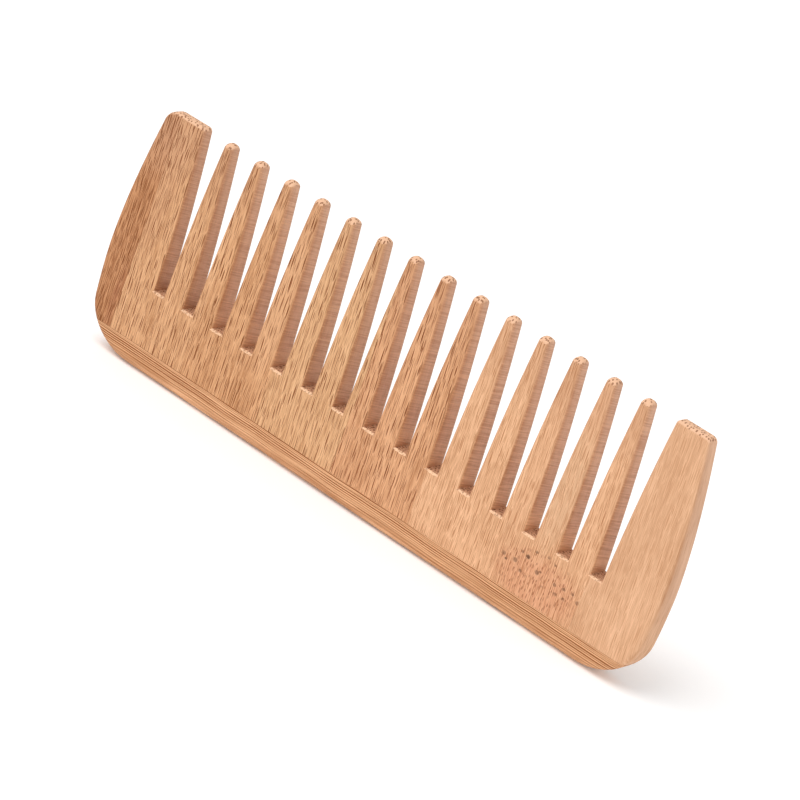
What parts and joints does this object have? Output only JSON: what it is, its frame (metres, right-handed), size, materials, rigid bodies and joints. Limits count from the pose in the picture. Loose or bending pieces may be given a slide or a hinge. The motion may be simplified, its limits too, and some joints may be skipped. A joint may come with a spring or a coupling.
{
  "type": "wide tooth comb",
  "caption": "Bamboo wide tooth comb: round-tipped tapered teeth between two broad guard teeth, glued up from strips with a lengthwise spine.",
  "frame": {"origin": "under the middle of the comb's back, at its lowest level", "axes": "+X along the comb's length, -Y out of its front face, +Z from the back to the tooth tips"},
  "size_m": [0.1432, 0.0062, 0.0511],
  "materials": {
    "left_guard_strip_bamboo": "sanded and oiled bamboo, satin",
    "board_strip_2_bamboo": "sanded and oiled bamboo, satin",
    "board_strip_3_bamboo": "sanded and oiled bamboo, satin",
    "board_strip_4_bamboo": "sanded and oiled bamboo, satin",
    "board_strip_5_bamboo": "sanded and oiled bamboo, satin",
    "board_strip_6_bamboo": "sanded and oiled bamboo, satin",
    "board_strip_7_bamboo": "sanded and oiled bamboo, satin",
    "right_guard_strip_bamboo": "sanded and oiled bamboo, satin",
    "spine_strip_bamboo": "sanded and oiled bamboo, satin"
  },
  "bodies": {
    "root": {"left_guard_strip": "left_guard_strip_bamboo", "board_strip_2": "board_strip_2_bamboo", "board_strip_3": "board_strip_3_bamboo", "board_strip_4": "board_strip_4_bamboo", "board_strip_5": "board_strip_5_bamboo", "board_strip_6": "board_strip_6_bamboo", "board_strip_7": "board_strip_7_bamboo", "right_guard_strip": "right_guard_strip_bamboo", "spine_strip": "spine_strip_bamboo"}
  },
  "joints": []
}
